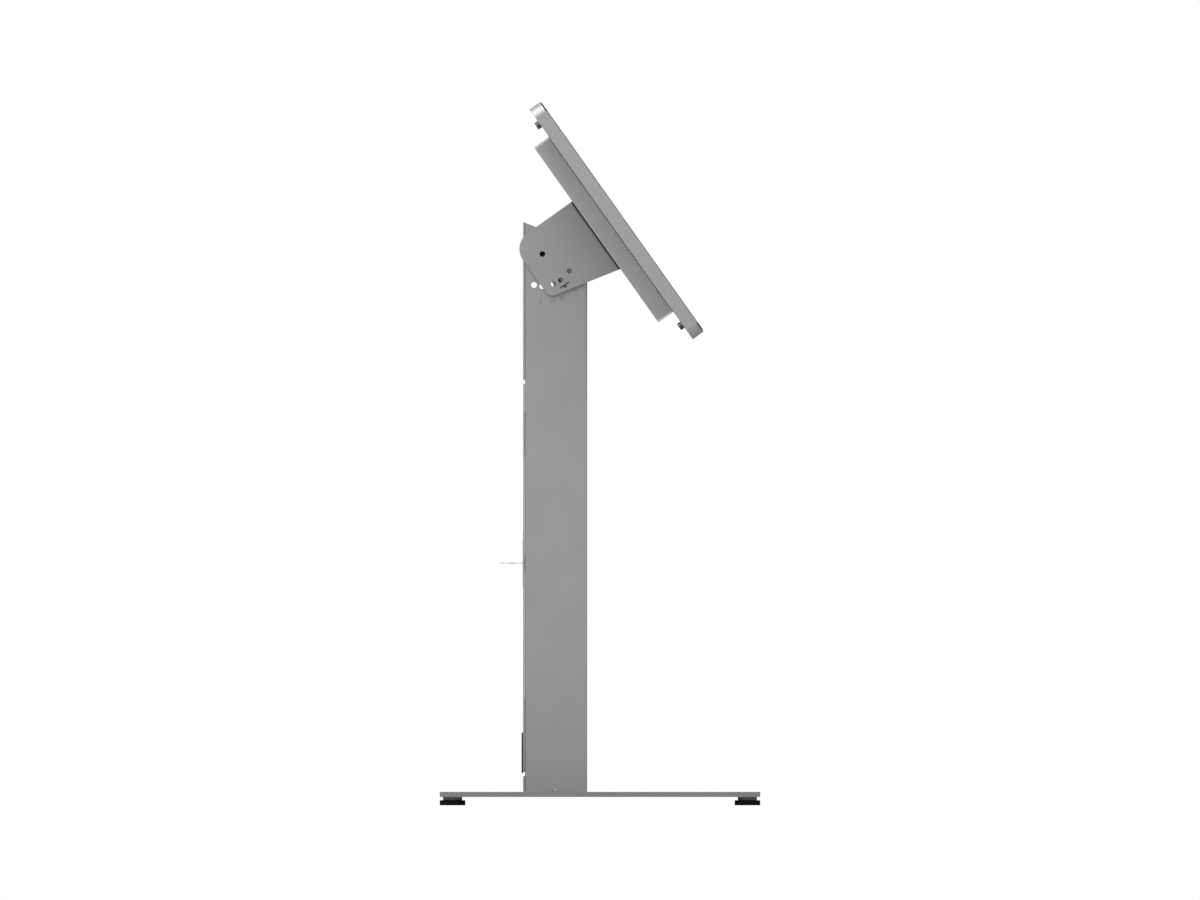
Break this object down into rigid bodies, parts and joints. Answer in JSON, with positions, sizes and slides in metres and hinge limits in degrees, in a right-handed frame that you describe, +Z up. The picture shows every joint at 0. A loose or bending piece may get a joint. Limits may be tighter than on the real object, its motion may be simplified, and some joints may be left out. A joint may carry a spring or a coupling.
{
  "type": "screen kiosk stand",
  "caption": "Floor-standing kiosk: a leaning touch screen on a tilt bracket with index holes, over a folded column with a lockable rear door, on a square base with levelling feet.",
  "frame": {"origin": "on the floor under the middle of the base plate", "axes": "+Z up, -Y towards the person at the screen, +X to that person's right"},
  "size_m": [0.745, 0.5, 1.0981],
  "materials": {
    "base_steel": "powder-coated steel plate, satin",
    "column_steel": "powder-coated sheet steel, satin",
    "cover_steel": "powder-coated sheet steel, satin",
    "bracket_steel": "powder-coated folded sheet steel, satin",
    "box_steel": "powder-coated folded sheet steel, satin",
    "frame_aluminium": "brushed and lacquered",
    "plated_steel": "zinc-plated, satin",
    "lock_metal": "polished nickel plate",
    "black_steel": "blackened steel, satin",
    "black_plastic": "moulded, fine matt grain",
    "adapter_plastic": "moulded, textured",
    "black_rubber": "matt",
    "gasket_foam": "matt closed-cell foam",
    "board_green": "lacquered circuit board",
    "supply_case": "thin galvanised case, mostly light inside",
    "case_steel": "plain galvanised sheet",
    "panel_module": "display panel in a thin sheet tray, mostly light layers",
    "end_aluminium": "natural anodised plate",
    "cover_glass": "polished, dark screen glass"
  },
  "bodies": {
    "stand": {"base_plate": "base_steel", "foot_collars": "plated_steel", "base_bolts": "plated_steel", "column": "column_steel", "column_foot": "plated_steel", "top_cap": "column_steel", "top_trim": "black_rubber", "rear_cover_upper": "cover_steel", "rear_cover_lower": "cover_steel", "hinge_leaves": "cover_steel", "hinge_pins": "plated_steel", "pivot_tube": "plated_steel", "pivot_screws": "black_steel", "friction_washers": "black_plastic", "plunger_barrels": "plated_steel", "plunger_springs": "plated_steel", "power_adapter": "adapter_plastic", "adapter_holder": "plated_steel", "cable_clips": "black_plastic"},
    "head": {"head_bracket": "bracket_steel", "head_spacers": "black_rubber", "vesa_screws": "plated_steel", "rear_box": "box_steel", "box_end_top": "end_aluminium", "box_end_bottom": "end_aluminium", "board_standoffs": "plated_steel", "main_board": "board_green", "power_board": "supply_case", "screen_frame": "frame_aluminium", "panel_rails": "case_steel", "thumbscrews": "black_plastic", "lcd_panel": "panel_module", "glass_gasket": "gasket_foam", "cover_glass": "cover_glass"},
    "door": {"rear_door": "cover_steel", "cable_outlet": "black_plastic", "lock_plate": "plated_steel", "lock_housing": "lock_metal", "lock_nut": "plated_steel"},
    "lock": {"lock_core": "lock_metal", "lock_cam": "plated_steel", "cam_screw": "plated_steel", "key": "lock_metal"},
    "plunger_left": {"plunger_pin_left": "black_steel"},
    "plunger_right": {"plunger_pin_right": "black_steel"},
    "foot_front_left": {"foot_pad_front_left": "black_rubber", "foot_stud_front_left": "plated_steel"},
    "foot_front_right": {"foot_pad_front_right": "black_rubber", "foot_stud_front_right": "plated_steel"},
    "foot_rear_left": {"foot_pad_rear_left": "black_rubber", "foot_stud_rear_left": "plated_steel"},
    "foot_rear_right": {"foot_pad_rear_right": "black_rubber", "foot_stud_rear_right": "plated_steel"}
  },
  "joints": [
    {"name": "head_tilt", "type": "hinge", "parent": "stand", "child": "head", "pos_m": [0, 0.09, 0.86], "axis": [-1, 0, 0], "range_deg": [-35.4, 9.6]},
    {"name": "door_hinge", "type": "hinge", "parent": "stand", "child": "door", "pos_m": [0.083, 0.1172, 0.355], "axis": [0, 0, -1], "range_deg": [0, 110]},
    {"name": "lock_turn", "type": "hinge", "parent": "door", "child": "lock", "pos_m": [-0.04, 0.112, 0.378], "axis": [0, 1, 0], "range_deg": [0, 90]},
    {"name": "plunger_pull_left", "type": "slide", "parent": "stand", "child": "plunger_left", "axis": [1, 0, 0], "range_m": [0, 0.006], "stiffness_N_per_m": 1500, "springref_m": -0.004},
    {"name": "plunger_pull_right", "type": "slide", "parent": "stand", "child": "plunger_right", "axis": [-1, 0, 0], "range_m": [0, 0.006], "stiffness_N_per_m": 1500, "springref_m": -0.004},
    {"name": "foot_height_front_left", "type": "slide", "parent": "stand", "child": "foot_front_left", "axis": [0, 0, -1], "range_m": [0, 0.008]},
    {"name": "foot_height_front_right", "type": "slide", "parent": "stand", "child": "foot_front_right", "axis": [0, 0, -1], "range_m": [0, 0.008]},
    {"name": "foot_height_rear_left", "type": "slide", "parent": "stand", "child": "foot_rear_left", "axis": [0, 0, -1], "range_m": [0, 0.008]},
    {"name": "foot_height_rear_right", "type": "slide", "parent": "stand", "child": "foot_rear_right", "axis": [0, 0, -1], "range_m": [0, 0.008]}
  ]
}
